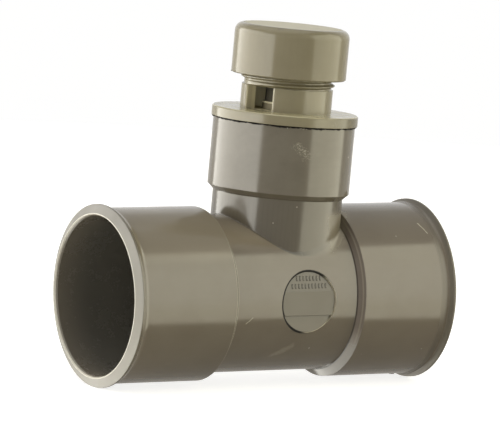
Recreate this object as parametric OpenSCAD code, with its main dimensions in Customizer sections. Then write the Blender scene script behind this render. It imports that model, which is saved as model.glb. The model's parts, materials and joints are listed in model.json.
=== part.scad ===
/* [Run] */
// Bore radius of the two sockets on the run
run_socket_r = 20.15; // [19:0.05:24]
// Depth of a run socket, from its mouth to its pipe stop
run_socket_depth = 26; // [18:0.5:40]
// Wall of a run socket
run_socket_wall = 2; // [1.6:0.1:3]
// Distance between the two pipe stops
stop_spacing = 42.5; // [42:0.5:60]
// Radius of the waterway between the pipe stops
waterway_r = 17.4; // [16.8:0.1:18.4]
// Wall of the body around the waterway
body_wall = 2.8; // [2.4:0.1:3.2]
// How far the inlet socket's full wall runs on past its pipe stop
inlet_backing = 2.8; // [1:0.1:4]
// How far the outlet socket's full wall runs on past its pipe stop
outlet_backing = 1.7; // [1:0.1:4]
// Length of the sloping shoulder between a run socket and the body
shoulder_l = 1.5; // [0.5:0.1:3]

/* [Socket mouths] */
// How far the flared lip stands out from its socket
lip_proud = 0.95; // [0.4:0.05:2]
// How far the lip's outer edge sits back from the mouth
lip_setback = 1.15; // [0.5:0.05:2]
// Width of the land around the lip's outer edge
lip_land = 0.5; // [0.2:0.05:1]
// Length of the flare behind the land
lip_flare = 2; // [1:0.1:4]
// Height of the lead-in chamfer inside the mouth
lead_in = 0.45; // [0.2:0.05:0.8]
// Length of the lead-in chamfer
lead_in_l = 0.8; // [0.4:0.1:2]
// Radius of the gate stub left under the outlet socket
gate_r = 0.7; // [0.4:0.1:1.2]
// How far the gate stub stands out
gate_h = 0.4; // [0.2:0.1:0.8]
// Distance of the gate stub from the outlet's mouth
gate_inset = 4.6; // [4.2:0.1:12]

/* [Branch] */
// Lean of the branch towards the outlet, in degrees
branch_lean = 2.5; // [0:0.1:6]
// Distance along the run from the inlet's pipe stop to the branch axis
branch_x = 25.2; // [22:0.1:25.5]
// Bore radius of the branch below its socket
branch_bore_r = 14.1; // [12:0.1:14.8]
// Wall of the branch below its socket
branch_wall = 2.5; // [2:0.1:3.2]
// Bore radius of the branch socket
branch_socket_r = 16.1; // [15.4:0.05:16.8]
// Wall of the branch socket
branch_socket_wall = 2; // [1.6:0.1:3]
// Height of the branch socket's trimmed mouth above the run's axis
branch_mouth_h = 44.1; // [42:0.1:60]
// Depth of the branch socket
branch_socket_depth = 16; // [12:0.5:18]
// How far the branch socket's full wall runs down past its stop
branch_backing = 1.5; // [0.5:0.1:2]
// Length of the shoulder under the branch socket
branch_shoulder_l = 1.4; // [0.5:0.1:2]
// Bevel left by the saw around the trimmed mouth
trim_bevel = 0.25; // [0.1:0.05:0.5]

/* [Badge] */
// Radius of the round badge on the front of the body
badge_r = 7.8; // [5:0.1:9]
// Depth of the badge's middle flat below the body's crown
badge_mid_depth = 0.45; // [0.2:0.05:0.8]
// Depth of the badge's lower flat below the body's crown
badge_low_depth = 0.9; // [0.6:0.05:1.2]
// Depth of the upper flat at the badge's top, below the body's surface there
badge_top_depth = 0.3; // [0.1:0.05:0.6]
// Height of the middle flat's upper edge
badge_mid_top = 2.8; // [1:0.1:4]
// Height of the middle flat's lower edge, below the axis
badge_mid_foot = 3.4; // [1:0.1:4]

/* [Valve body] */
// Glue gap around the valve's spigot
spigot_fit = 0.1; // [0.05:0.05:0.3]
// Gap between the spigot's end and the branch stop
spigot_end_gap = 0.3; // [0.1:0.1:1]
// Wall of the spigot
spigot_wall = 2; // [1.5:0.1:3]
// Bevel around the spigot's end
spigot_bevel = 0.6; // [0.3:0.1:1]
// Radius of the flange
flange_r = 18.65; // [18:0.05:22]
// Thickness of the flange
flange_t = 2.55; // [2:0.05:4]
// Bevel around the flange's upper edge
flange_bevel = 0.3; // [0.1:0.05:0.6]
// Outer radius of the neck under its thread
neck_r = 11.65; // [11.3:0.05:11.9]
// Height of the neck's plain part and its air windows
window_h = 6.05; // [4:0.05:6.5]
// Width of each air window, in degrees around the neck
window_angle = 44; // [20:1:70]
// Direction of the first air window around the branch axis, in degrees
window_dir = 198.4; // [0:0.1:360]
// Radius on the outer edges of an air window
window_round = 0.6; // [0.2:0.1:0.8]
// Radius of the air passage inside the neck
air_r = 8.9; // [8:0.05:9.2]
// Radius of the chamber above the seats
chamber_r = 9.8; // [9.6:0.05:10.1]
// Height of the lip on each seat
seat_lip_h = 0.3; // [0.1:0.05:0.6]
// Width of the lip on each seat
seat_lip_w = 0.4; // [0.2:0.05:0.5]
// Height of the neck's rim above the flange
neck_h = 18.1; // [17.8:0.1:24]
// Bore radius of the inner tube
tube_bore_r = 4; // [3.6:0.05:4.6]
// Wall of the inner tube
tube_wall = 1.4; // [1:0.05:2]
// Width of the collar around the inner tube's foot
collar_w = 0.6; // [0.3:0.05:1.2]
// Height of that collar
collar_h = 1.9; // [1:0.1:3]

/* [Thread] */
// Outside radius of the neck's thread
thread_r = 12; // [11.9:0.05:12.4]
// Depth of the thread
thread_depth = 0.9; // [0.6:0.05:1]
// Pitch of the thread
thread_pitch = 1.5; // [1.4:0.05:2]
// Width of a thread ridge along its crest
thread_crest_w = 0.24; // [0.16:0.02:0.3]
// Slope of a thread ridge's flanks, in degrees
thread_flank = 29; // [25:1:30]
// Gap between the crests of one thread and the roots of the other
thread_gap = 0.15; // [0.1:0.01:0.2]
// Play between the flanks of the two threads, along the branch axis
thread_play = 0.12; // [0.05:0.01:0.15]
// Chamfer that leads the neck into the cap
thread_lead = 0.45; // [0.3:0.05:0.6]

/* [Cap] */
// Wall of the cap outside its thread
cap_wall = 2.5; // [1.8:0.1:4]
// Thickness of the cap's top
cap_top_t = 2.2; // [1.6:0.1:4]
// Radius between the cap's top and side
cap_round = 2.2; // [0.8:0.1:3]
// Bevel around the cap's lower edge
cap_bevel = 0.3; // [0.1:0.05:0.6]
// Height of the cap's lower edge above the flange
skirt_h = 8.7; // [7.4:0.1:10]
// Thickness of the gasket that lines the cap's top
gasket_t = 1.2; // [0.8:0.1:2]

/* [Disc] */
// Lift of the disc from its seats to the gasket
disc_lift = 2.5; // [1.5:0.05:2.6]
// Thickness of the disc's plate
disc_t = 1.2; // [0.8:0.1:1.4]
// Thickness of the rubber ring
ring_t = 1; // [0.6:0.1:1.2]
// Gap around the rubber ring in its chamber
ring_gap = 0.3; // [0.1:0.05:0.5]
// Hole radius of the rubber ring
ring_bore_r = 3.55; // [2.5:0.05:3.6]
// Gap around the guide wings in the inner tube
wing_gap = 0.2; // [0.1:0.05:0.4]
// Thickness of a guide wing
wing_t = 1; // [0.6:0.1:2]
// Length of the guide wings
wing_l = 8; // [4:0.5:12]
// Height of the snap head that holds the ring on the disc
snap_h = 0.8; // [0.5:0.1:1.2]

/* [Hidden] */
$fn = 96;

// Play that is left between faces that only touch
touch = 0.02;
// Overlap that lets one solid join or cut another
lap = 0.2;
// Facets in one turn of a thread, and in a quarter of a rounded edge
turn_facets = 40;
round_facets = 8;

run_socket_out_r = run_socket_r + run_socket_wall;
body_r = waterway_r + body_wall;
branch_r = branch_bore_r + branch_wall;
branch_socket_out_r = branch_socket_r + branch_socket_wall;
branch_stop_h = branch_mouth_h - branch_socket_depth;
flange_top = branch_mouth_h + flange_t;
rim_z = flange_top + neck_h;
tube_r = tube_bore_r + tube_wall;
gasket_z = rim_z + touch;
ceiling_z = gasket_z + gasket_t + touch;
cap_bore_r = thread_r + thread_gap;
cap_r = cap_bore_r + cap_wall;
cap_foot = flange_top + skirt_h;
cap_top = ceiling_z + cap_top_t;
// The disc's place at rest follows from its lift below the gasket, and the two seats carry its ring
disc_z = gasket_z - touch - disc_lift - disc_t;
ring_z = disc_z - touch - ring_t;
seat_z = ring_z - touch;
ring_r = chamber_r - ring_gap;
disc_r = ring_r - lap;
wing_r = tube_bore_r - wing_gap;

thread_root_r = thread_r - thread_depth;
// Direction and height at which the neck's thread starts, and the height that it may reach
thread_start_dir = 140;
thread_start_z = flange_top + window_h + thread_pitch / 4;
thread_end_z = rim_z - thread_pitch / 2;
cap_thread_start_z = cap_foot + thread_pitch;
cap_thread_end_z = rim_z - thread_pitch;

// Places its children on the leaning branch
module on_branch() {
    translate([branch_x, 0, 0]) rotate([0, branch_lean, 0]) children();
}

// Lays its children, drawn upright, along the run
module along_run() {
    rotate([0, 90, 0]) children();
}

// A ring between two radii, from one height to another
module ring(inner, outer, low, high) {
    translate([0, 0, low]) difference() {
        cylinder(r = outer, h = high - low);
        translate([0, 0, -lap]) cylinder(r = inner, h = high - low + 2 * lap);
    }
}

// A cone frustum between two heights
module frustum(r_low, r_high, low, high) {
    translate([0, 0, low]) cylinder(r1 = r_low, r2 = r_high, h = high - low);
}

// Outline of a flared socket mouth: radius and distance from the mouth
function lip_outline() = concat(
    [[run_socket_r + lead_in, 0], [run_socket_out_r + lip_proud, lip_setback]],
    [for (k = [0:round_facets]) let(s = 1 - k / round_facets)
        [run_socket_out_r + lip_proud * s * s, lip_setback + lip_land + lip_flare * (1 - s)]]);

// Outline of the whole run, as radius and distance from the inlet's pipe stop
function run_outline() = let(mouth = lip_outline(), n = len(mouth), far = stop_spacing + run_socket_depth)
    concat([[0, -run_socket_depth]],
        [for (p = mouth) [p[0], p[1] - run_socket_depth]],
        [[run_socket_out_r, inlet_backing], [body_r, inlet_backing + shoulder_l],
         [body_r, stop_spacing - outlet_backing - shoulder_l],
         [run_socket_out_r, stop_spacing - outlet_backing]],
        [for (k = [n - 1:-1:0]) [mouth[k][0], far - mouth[k][1]]],
        [[0, far]]);

// One run socket's hollow, drawn with its mouth at height 0 and its stop above
module socket_hollow() {
    translate([0, 0, lead_in_l - lap]) cylinder(r = run_socket_r, h = run_socket_depth - lead_in_l + lap);
    frustum(run_socket_r + lead_in, run_socket_r, 0, lead_in_l);
    translate([0, 0, -lap]) cylinder(r = run_socket_r + lead_in, h = lap);
}

module run_hollow() {
    along_run() {
        translate([0, 0, -lap]) cylinder(r = waterway_r, h = stop_spacing + 2 * lap);
        translate([0, 0, -run_socket_depth]) socket_hollow();
        translate([0, 0, stop_spacing + run_socket_depth]) mirror([0, 0, 1]) socket_hollow();
    }
}

module branch_solid() {
    shoulder_top = branch_stop_h - branch_backing;
    cylinder(r = branch_r, h = branch_stop_h);
    frustum(branch_r, branch_socket_out_r, shoulder_top - branch_shoulder_l, shoulder_top);
    translate([0, 0, shoulder_top])
        cylinder(r = branch_socket_out_r, h = branch_mouth_h - trim_bevel - shoulder_top);
    frustum(branch_socket_out_r, branch_socket_out_r - trim_bevel,
        branch_mouth_h - trim_bevel, branch_mouth_h);
}

module branch_hollow() {
    cylinder(r = branch_bore_r, h = branch_mouth_h);
    translate([0, 0, branch_stop_h]) cylinder(r = branch_socket_r, h = branch_socket_depth + lap);
}

// Side outline of the badge's three flats: distance in front of the axis, and height
function badge_flats() = let(
        top_front = sqrt(body_r * body_r - badge_r * badge_r) - badge_top_depth,
        mid_front = body_r - badge_mid_depth,
        top_foot = sqrt(body_r * body_r - badge_mid_top * badge_mid_top) - badge_top_depth)
    [[top_front, badge_r], [top_foot, badge_mid_top], [mid_front, badge_mid_top],
     [mid_front, -badge_mid_foot], [body_r - badge_low_depth, -badge_mid_foot],
     [body_r - badge_low_depth, -badge_r]];

// The round column in front of the body in which the badge lies
module badge_column(from, to) {
    translate([branch_x, -from, 0]) rotate([90, 0, 0]) cylinder(r = badge_r, h = to - from);
}

// A side outline drawn across the badge's column
module badge_slab(outline) {
    translate([branch_x + badge_r, 0, 0]) rotate([90, 0, -90])
        linear_extrude(2 * badge_r) polygon(outline);
}

module badge_hollow() {
    flats = badge_flats();
    front = body_r + lap;
    intersection() {
        badge_column(waterway_r, front);
        badge_slab(concat([[front, badge_r + lap], [flats[0][0], badge_r + lap]], flats,
            [[front, -badge_r]]));
    }
}

// The lower flat stands proud of the body where the body curves away under it
module badge_foot() {
    front = body_r - badge_low_depth;
    back = sqrt(waterway_r * waterway_r - badge_mid_foot * badge_mid_foot) + lap;
    intersection() {
        badge_column(back, front);
        badge_slab([[back, -badge_r - lap], [front, -badge_r - lap],
            [front, -badge_mid_foot], [back, -badge_mid_foot]]);
    }
}

module gate_stub() {
    translate([stop_spacing + run_socket_depth - gate_inset, 0, -run_socket_out_r - gate_h])
        cylinder(r = gate_r, h = gate_h + run_socket_wall / 2);
}

module tee_body() {
    color("#7d7767") difference() {
        union() {
            along_run() rotate_extrude() polygon(run_outline());
            on_branch() branch_solid();
            badge_foot();
            gate_stub();
        }
        run_hollow();
        on_branch() branch_hollow();
        badge_hollow();
    }
}

// Section of a thread ridge, as [radius, half width] at its root and at its crest
function ridge_section(root, crest, half) =
    [[root, half + tan(thread_flank) * abs(crest - root)], [crest, half]];

// The four corners of a ridge's section after k of its n facets; the crest rises out of the
// root over the first few facets and sinks back over the last
function ridge_corners(k, n, section, dir, z, fade) = let(
        a = dir + 360 * k / turn_facets,
        h = z + thread_pitch * k / turn_facets,
        rise = min(1, (k + 1) / fade, (n - k + 1) / fade),
        root = section[0],
        crest = root + (section[1] - root) * rise,
        first = crest[0] > root[0] ? -1 : 1)
    [for (p = [[root, first], [crest, first], [crest, -first], [root, -first]])
        [p[0][0] * cos(a), p[0][0] * sin(a), h + p[1] * p[0][1]]];

// A right-handed screw ridge that fades in and out over a quarter turn
module ridge(section, dir, z_start, z_end) {
    n = floor((z_end - z_start) / thread_pitch * turn_facets);
    points = [for (k = [0:n]) each ridge_corners(k, n, section, dir, z_start, turn_facets / 4)];
    sides = [for (k = [0:n - 1], j = [0:3]) let(a = 4 * k + j, b = 4 * k + (j + 1) % 4)
        each [[a, b, b + 4], [a, b + 4, a + 4]]];
    polyhedron(points, concat(sides, [[3, 2, 1, 0], [4 * n, 4 * n + 1, 4 * n + 2, 4 * n + 3]]));
}

// One side of an air window in plan, from inside out, with the neck's corner rounded there
function window_side(side) = let(
        turn = side * window_angle / 2,
        bend = [for (k = [0:round_facets]) let(a = 90 * k / round_facets)
            [neck_r - window_round * (1 - sin(a)), side * window_round * (1 - cos(a))]])
    [for (p = concat(bend, [[2 * neck_r, side * window_round]]))
        [p[0] * cos(turn) - p[1] * sin(turn), p[0] * sin(turn) + p[1] * cos(turn)]];

function window_plan() = let(left = window_side(1))
    concat([[0, 0]], window_side(-1), [for (k = [len(left) - 1:-1:0]) left[k]]);

// The neck with its thread, hollowed out above the lip of the outer seat
module neck_wall() {
    seat_foot = seat_z - seat_lip_h;
    difference() {
        union() {
            translate([0, 0, flange_top - lap]) cylinder(r = neck_r, h = window_h + lap);
            translate([0, 0, flange_top + lap]) cylinder(r = thread_root_r, h = neck_h - lap);
            ridge(ridge_section(thread_root_r - lap, thread_r, thread_crest_w / 2),
                thread_start_dir, thread_start_z, thread_end_z);
        }
        translate([0, 0, seat_foot]) cylinder(r = chamber_r, h = rim_z - seat_foot + lap);
    }
    translate([0, 0, seat_foot - lap]) cylinder(r = air_r + seat_lip_w, h = seat_lip_h + lap);
}

// The neck around the air passage, with its two windows
module neck() {
    difference() {
        neck_wall();
        translate([0, 0, flange_top - 2 * lap]) cylinder(r = air_r, h = neck_h + 3 * lap);
        for (turn = [0, 180]) translate([0, 0, flange_top - 2 * lap]) rotate(window_dir + turn)
            linear_extrude(window_h + 2 * lap) polygon(window_plan());
    }
}

// The tube that leads the air down through the flange, with its collar and the inner seat
module inner_tube() {
    rotate_extrude() polygon([[0, flange_top - lap], [tube_r + collar_w, flange_top - lap],
        [tube_r + collar_w, flange_top + collar_h], [tube_r, flange_top + collar_h],
        [tube_r, seat_z - seat_lip_h], [tube_bore_r + seat_lip_w, seat_z], [0, seat_z]]);
}

module flange() {
    translate([0, 0, branch_mouth_h]) cylinder(r = flange_r, h = flange_t - flange_bevel);
    frustum(flange_r, flange_r - flange_bevel, flange_top - flange_bevel, flange_top);
}

module valve_body() {
    spigot_r = branch_socket_r - spigot_fit;
    spigot_foot = branch_stop_h + spigot_end_gap;
    color("#938c6e") on_branch() difference() {
        union() {
            frustum(spigot_r - spigot_bevel, spigot_r, spigot_foot, spigot_foot + spigot_bevel);
            translate([0, 0, spigot_foot + spigot_bevel])
                cylinder(r = spigot_r, h = branch_mouth_h - spigot_foot - spigot_bevel + lap);
            flange();
            neck();
            inner_tube();
        }
        translate([0, 0, spigot_foot - lap])
            cylinder(r = spigot_r - spigot_wall, h = branch_mouth_h - spigot_foot + lap);
        translate([0, 0, branch_mouth_h - lap])
            cylinder(r = tube_bore_r, h = seat_z - branch_mouth_h + 2 * lap);
    }
}

// The ring seals the air passage between the outer seat and the inner tube
module rubber_ring() {
    color("#2b2b2b") on_branch() ring(ring_bore_r, ring_r, ring_z, ring_z + ring_t);
}

module valve_disc() {
    hub_r = ring_bore_r - touch;
    snap_z = ring_z - touch;
    color("#d8d5cc") on_branch() {
        translate([0, 0, disc_z]) cylinder(r = disc_r, h = disc_t);
        translate([0, 0, snap_z - lap]) cylinder(r = hub_r, h = disc_z - snap_z + 2 * lap);
        frustum(hub_r - lap, wing_r, snap_z - snap_h, snap_z);
        for (turn = [0, 90]) rotate(turn) translate([0, 0, snap_z - wing_l]) intersection() {
            translate([-wing_r, -wing_t / 2, 0]) cube([2 * wing_r, wing_t, wing_l - snap_h / 2]);
            cylinder(r = wing_r, h = wing_l);
        }
    }
}

// A round liner: its edge seals on the neck's rim, and its middle stops the disc
module cap_gasket() {
    color("#3a3936") on_branch() translate([0, 0, gasket_z]) cylinder(r = thread_r, h = gasket_t);
}

// Outline of the cap's outside, as radius and height, with its upper edge rounded
function cap_outline() = concat(
    [[0, cap_foot], [cap_r - cap_bevel, cap_foot], [cap_r, cap_foot + cap_bevel]],
    [for (k = [0:round_facets]) let(a = 90 * k / round_facets)
        [cap_r - cap_round * (1 - cos(a)), cap_top - cap_round * (1 - sin(a))]],
    [[0, cap_top]]);

// Direction in which the cap's ridge starts, so that it runs midway between the neck's turns
function cap_thread_dir() = thread_start_dir
    + 360 * ((cap_thread_start_z - thread_start_z) / thread_pitch - 0.5);

module screw_cap() {
    crest_r = thread_root_r + thread_gap;
    crest_half = (thread_pitch - thread_crest_w) / 2 - thread_play
        - tan(thread_flank) * (thread_r - crest_r);
    color("#a09a88") on_branch() {
        difference() {
            rotate_extrude() polygon(cap_outline());
            translate([0, 0, cap_foot - lap]) cylinder(r = cap_bore_r, h = ceiling_z - cap_foot + lap);
            frustum(cap_bore_r + thread_lead, cap_bore_r, cap_foot - touch, cap_foot + thread_lead);
        }
        ridge(ridge_section(cap_bore_r + lap, crest_r, crest_half),
            cap_thread_dir(), cap_thread_start_z, cap_thread_end_z);
    }
}

tee_body();
valve_body();
rubber_ring();
valve_disc();
cap_gasket();
screw_cap();
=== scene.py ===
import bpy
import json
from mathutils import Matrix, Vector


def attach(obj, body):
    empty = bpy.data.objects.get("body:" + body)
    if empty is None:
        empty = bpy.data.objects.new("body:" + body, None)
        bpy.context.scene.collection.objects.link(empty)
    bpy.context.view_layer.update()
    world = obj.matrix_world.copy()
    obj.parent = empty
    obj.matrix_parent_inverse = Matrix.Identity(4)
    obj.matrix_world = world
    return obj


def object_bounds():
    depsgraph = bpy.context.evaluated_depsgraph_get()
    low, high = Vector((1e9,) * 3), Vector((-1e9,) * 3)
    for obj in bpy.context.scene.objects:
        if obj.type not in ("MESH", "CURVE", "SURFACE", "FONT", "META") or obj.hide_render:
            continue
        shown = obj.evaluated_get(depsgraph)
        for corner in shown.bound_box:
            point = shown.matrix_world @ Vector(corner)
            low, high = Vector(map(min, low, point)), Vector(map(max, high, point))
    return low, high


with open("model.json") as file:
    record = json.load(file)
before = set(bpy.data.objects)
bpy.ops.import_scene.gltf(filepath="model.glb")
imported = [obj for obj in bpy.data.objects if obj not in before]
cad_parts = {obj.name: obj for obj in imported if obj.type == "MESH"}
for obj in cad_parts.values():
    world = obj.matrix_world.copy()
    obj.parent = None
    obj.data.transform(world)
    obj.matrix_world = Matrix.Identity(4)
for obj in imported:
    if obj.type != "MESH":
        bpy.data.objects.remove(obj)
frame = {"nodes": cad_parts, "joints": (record.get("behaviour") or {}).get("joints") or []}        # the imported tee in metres: X along the run, Z up, the badge towards -Y
cadBox = [list(corner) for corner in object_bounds()]

import json
import math

import bmesh
import bpy
from mathutils import Matrix, Vector

mm = 0.001
scene = bpy.context.scene
nodes = frame["nodes"]
print("frame loaded:", ", ".join(sorted(nodes)))

# where the branch stands, taken from the cap's own joint
capTurn = next(joint for joint in frame["joints"] if joint["name"] == "cap_turn")
branchAxis = Vector(capTurn["axis"]).normalized()
branchFoot = Vector(capTurn["pos_m"])
branchAhead = Vector((branchAxis.z, 0, -branchAxis.x))   # square to the branch, towards the outlet
# brings what is made upright about the Z axis to its place on the branch
branchPlace = Matrix.Translation(branchFoot) @ Matrix(
    (branchAhead, Vector((0, 1, 0)), branchAxis)).transposed().to_4x4()
floorHeight = cadBox[0][2]


def linearColour(code):
    # "#rrggbb" as the linear colour that a socket takes
    channels = [int(code[k:k + 2], 16) / 255 for k in (1, 3, 5)]
    return [c / 12.92 if c <= 0.04045 else ((c + 0.055) / 1.055) ** 2.4 for c in channels] + [1.0]


def addNode(tree, kind, inputs=None, **settings):
    node = tree.nodes.new(kind)
    for key, value in settings.items():
        setattr(node, key, value)
    for key, value in (inputs or {}).items():
        if isinstance(value, bpy.types.NodeSocket):
            tree.links.new(value, node.inputs[key])
        else:
            node.inputs[key].default_value = value
    return node


def calc(tree, operation, *values, clamp=False):
    node = addNode(tree, "ShaderNodeMath", dict(enumerate(values)), operation=operation, use_clamp=clamp)
    return node.outputs[0]


def vectorCalc(tree, operation, *values):
    node = addNode(tree, "ShaderNodeVectorMath", dict(enumerate(values)), operation=operation)
    return node.outputs["Value" if operation in ("DOT_PRODUCT", "LENGTH", "DISTANCE") else "Vector"]


def scaleVector(tree, vector, factor):
    node = addNode(tree, "ShaderNodeVectorMath", {0: vector, "Scale": factor}, operation="SCALE")
    return node.outputs[0]


def joinVector(tree, x=0.0, y=0.0, z=0.0):
    return addNode(tree, "ShaderNodeCombineXYZ", {0: x, 1: y, 2: z}).outputs[0]


def rampBetween(tree, value, low, high, start=0.0, end=1.0):
    node = addNode(tree, "ShaderNodeMapRange", {0: value, 1: low, 2: high, 3: start, 4: end},
                   interpolation_type="SMOOTHSTEP")
    return node.outputs[0]


def mixColour(tree, factor, first, second, blend="MIX"):
    node = addNode(tree, "ShaderNodeMix", {0: factor, 6: first, 7: second},
                   data_type="RGBA", blend_type=blend)
    return node.outputs[2]


def startGroup(name, inputs, outputs):
    group = bpy.data.node_groups.new(name, "ShaderNodeTree")
    for label, kind, value in inputs:
        socket = group.interface.new_socket(name=label, in_out="INPUT", socket_type="NodeSocket" + kind)
        socket.default_value = value
    for label, kind in outputs:
        group.interface.new_socket(name=label, in_out="OUTPUT", socket_type="NodeSocket" + kind)
    return group, group.nodes.new("NodeGroupInput").outputs, group.nodes.new("NodeGroupOutput").inputs


def useGroup(tree, group, values):
    return addNode(tree, "ShaderNodeGroup", values, node_tree=group).outputs


def objectPoint(tree):
    return addNode(tree, "ShaderNodeTexCoord").outputs["Object"]


def noiseValue(tree, point, scale, detail=3.0, roughness=0.55, distortion=0.0):
    node = addNode(tree, "ShaderNodeTexNoise", {"Vector": point, "Scale": scale, "Detail": detail,
                                                "Roughness": roughness, "Distortion": distortion})
    return node.outputs[0]


# effects that the finishes share

def makeMouldedTone():
    # cloudy colour and faint flow streaks of a moulded part
    cloudFrom, cloudFull = 0.35, 0.68
    streakScale = 900.0
    group, given, result = startGroup("Moulded tone", [
        ("Colour", "Color", (0.2, 0.18, 0.14, 1)), ("Cloud colour", "Color", (0.18, 0.15, 0.11, 1)),
        ("Cloud size", "Float", 0.012), ("Cloud amount", "Float", 0.5),
        ("Streak stretch", "Vector", (0.1, 1, 1)), ("Streak amount", "Float", 0.1)], [("Colour", "Color")])
    point = objectPoint(group)
    cloud = noiseValue(group, point, calc(group, "DIVIDE", 1.0, given["Cloud size"]), detail=4.0)
    cloud = calc(group, "MULTIPLY", rampBetween(group, cloud, cloudFrom, cloudFull), given["Cloud amount"])
    colour = mixColour(group, cloud, given["Colour"], given["Cloud colour"])
    stretched = vectorCalc(group, "MULTIPLY", point, given["Streak stretch"])
    streak = noiseValue(group, stretched, streakScale, detail=2.0)
    shade = calc(group, "MULTIPLY", calc(group, "SUBTRACT", streak, 0.5), given["Streak amount"])
    bright = calc(group, "ADD", 1.0, shade)
    shaded = vectorCalc(group, "MULTIPLY", colour, joinVector(group, bright, bright, bright))
    group.links.new(shaded, result["Colour"])
    return group


def makeFineGrain():
    # small unevenness of gloss and surface
    grainShare = 0.35                   # the rest is the slower wave
    glossFrom, glossUpTo = 0.38, 0.62   # the part of the noise that the gloss follows
    group, given, result = startGroup("Fine grain", [
        ("Grain size", "Float", 0.0004), ("Wave size", "Float", 0.006),
        ("Gloss low", "Float", 0.15), ("Gloss high", "Float", 0.3)],
        [("Roughness", "Float"), ("Height", "Float")])
    point = objectPoint(group)
    grain = noiseValue(group, point, calc(group, "DIVIDE", 1.0, given["Grain size"]), detail=2.0)
    wave = noiseValue(group, point, calc(group, "DIVIDE", 1.0, given["Wave size"]), detail=3.0)
    blend = calc(group, "ADD", calc(group, "MULTIPLY", grain, grainShare),
                 calc(group, "MULTIPLY", wave, 1 - grainShare))
    gloss = addNode(group, "ShaderNodeMapRange", {
        0: blend, 1: glossFrom, 2: glossUpTo, 3: given["Gloss low"], 4: given["Gloss high"]})
    group.links.new(gloss.outputs[0], result["Roughness"])
    group.links.new(blend, result["Height"])
    return group


def makeWornAndHighlitEdges():
    # finds edges by how far a rounded normal turns away from the true one; the pale colour laid on them is
    # wear and painted edge highlight together
    turnFrom, turnFull = 0.02, 0.25     # 1 less the cosine between the two normals
    breakFrom, breakFull = 0.35, 0.6
    group, given, result = startGroup("Worn and highlit edges", [
        ("Width", "Float", 0.0003), ("Break size", "Float", 0.0015)], [("Mask", "Float")])
    rounded = addNode(group, "ShaderNodeBevel", {"Radius": given["Width"]}, samples=4)
    true = addNode(group, "ShaderNodeNewGeometry")
    turned = vectorCalc(group, "DOT_PRODUCT", rounded.outputs[0], true.outputs["Normal"])
    edge = rampBetween(group, calc(group, "SUBTRACT", 1.0, turned), turnFrom, turnFull)
    broken = noiseValue(group, objectPoint(group), calc(group, "DIVIDE", 1.0, given["Break size"]))
    broken = rampBetween(group, broken, breakFrom, breakFull)
    group.links.new(calc(group, "MULTIPLY", edge, broken), result["Mask"])
    return group


def makeRubbedLine():
    # a soft mark from one point to another, or a spot where the two are the same, whole or in specks
    shortest = 1e-12                    # a spot's length squared, so that nothing is divided by zero
    speckStretch = (1.0, 1.0, 0.55)
    speckRise, speckFade = 0.12, 0.05
    wholeBelow = 0.01                   # a bare share below this leaves the mark whole
    group, given, result = startGroup("Rubbed line", [
        ("Start", "Vector", (0, 0, 0)), ("End", "Vector", (0, 0, 0)), ("Half width", "Float", 0.0005),
        ("Softness", "Float", 0.5), ("Wobble", "Float", 0.0003), ("Wobble size", "Float", 0.001),
        ("Speck size", "Float", 0.0002), ("Bare share", "Float", 0.0)],
        [("Mask", "Float")])
    point = objectPoint(group)
    wobble = addNode(group, "ShaderNodeTexNoise", {
        "Vector": point, "Scale": calc(group, "DIVIDE", 1.0, given["Wobble size"]), "Detail": 3.0})
    shift = vectorCalc(group, "SUBTRACT", wobble.outputs["Color"], (0.5, 0.5, 0.5))
    moved = vectorCalc(group, "ADD", point, scaleVector(group, shift, given["Wobble"]))
    reach = vectorCalc(group, "SUBTRACT", moved, given["Start"])
    whole = vectorCalc(group, "SUBTRACT", given["End"], given["Start"])
    square = calc(group, "MAXIMUM", vectorCalc(group, "DOT_PRODUCT", whole, whole), shortest)
    share = calc(group, "DIVIDE", vectorCalc(group, "DOT_PRODUCT", reach, whole), square, clamp=True)
    distance = vectorCalc(group, "DISTANCE", reach, scaleVector(group, whole, share))
    inner = calc(group, "MULTIPLY", given["Half width"], calc(group, "SUBTRACT", 1.0, given["Softness"]))
    mark = rampBetween(group, distance, inner, given["Half width"], 1.0, 0.0)
    specks = noiseValue(group, vectorCalc(group, "MULTIPLY", point, speckStretch),
                        calc(group, "DIVIDE", 1.0, given["Speck size"]), detail=2.0, distortion=0.8)
    # a speck shows where the noise passes a limit that rises towards the mark's border
    limit = calc(group, "SUBTRACT", given["Bare share"], calc(group, "MULTIPLY", mark, speckRise))
    shown = rampBetween(group, specks, limit, calc(group, "ADD", limit, speckFade))
    solid = calc(group, "LESS_THAN", given["Bare share"], wholeBelow)
    group.links.new(calc(group, "MULTIPLY", mark, calc(group, "MAXIMUM", shown, solid)), result["Mask"])
    return group


def makeDust():
    # a few pale specks, one at most in each cell
    coreShare = 0.5                     # the part of a speck's radius that is solid
    group, given, result = startGroup("Dust", [
        ("Spacing", "Float", 0.004), ("Speck size", "Float", 0.03), ("Share", "Float", 0.5)],
        [("Mask", "Float")])
    cells = addNode(group, "ShaderNodeTexVoronoi", {
        "Vector": objectPoint(group), "Scale": calc(group, "DIVIDE", 1.0, given["Spacing"])})
    core = calc(group, "MULTIPLY", given["Speck size"], coreShare)
    speck = rampBetween(group, cells.outputs["Distance"], core, given["Speck size"], 1.0, 0.0)
    chosen = addNode(group, "ShaderNodeSeparateColor", {0: cells.outputs["Color"]})
    kept = calc(group, "LESS_THAN", chosen.outputs[0], given["Share"])
    group.links.new(calc(group, "MULTIPLY", speck, kept), result["Mask"])
    return group


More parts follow.
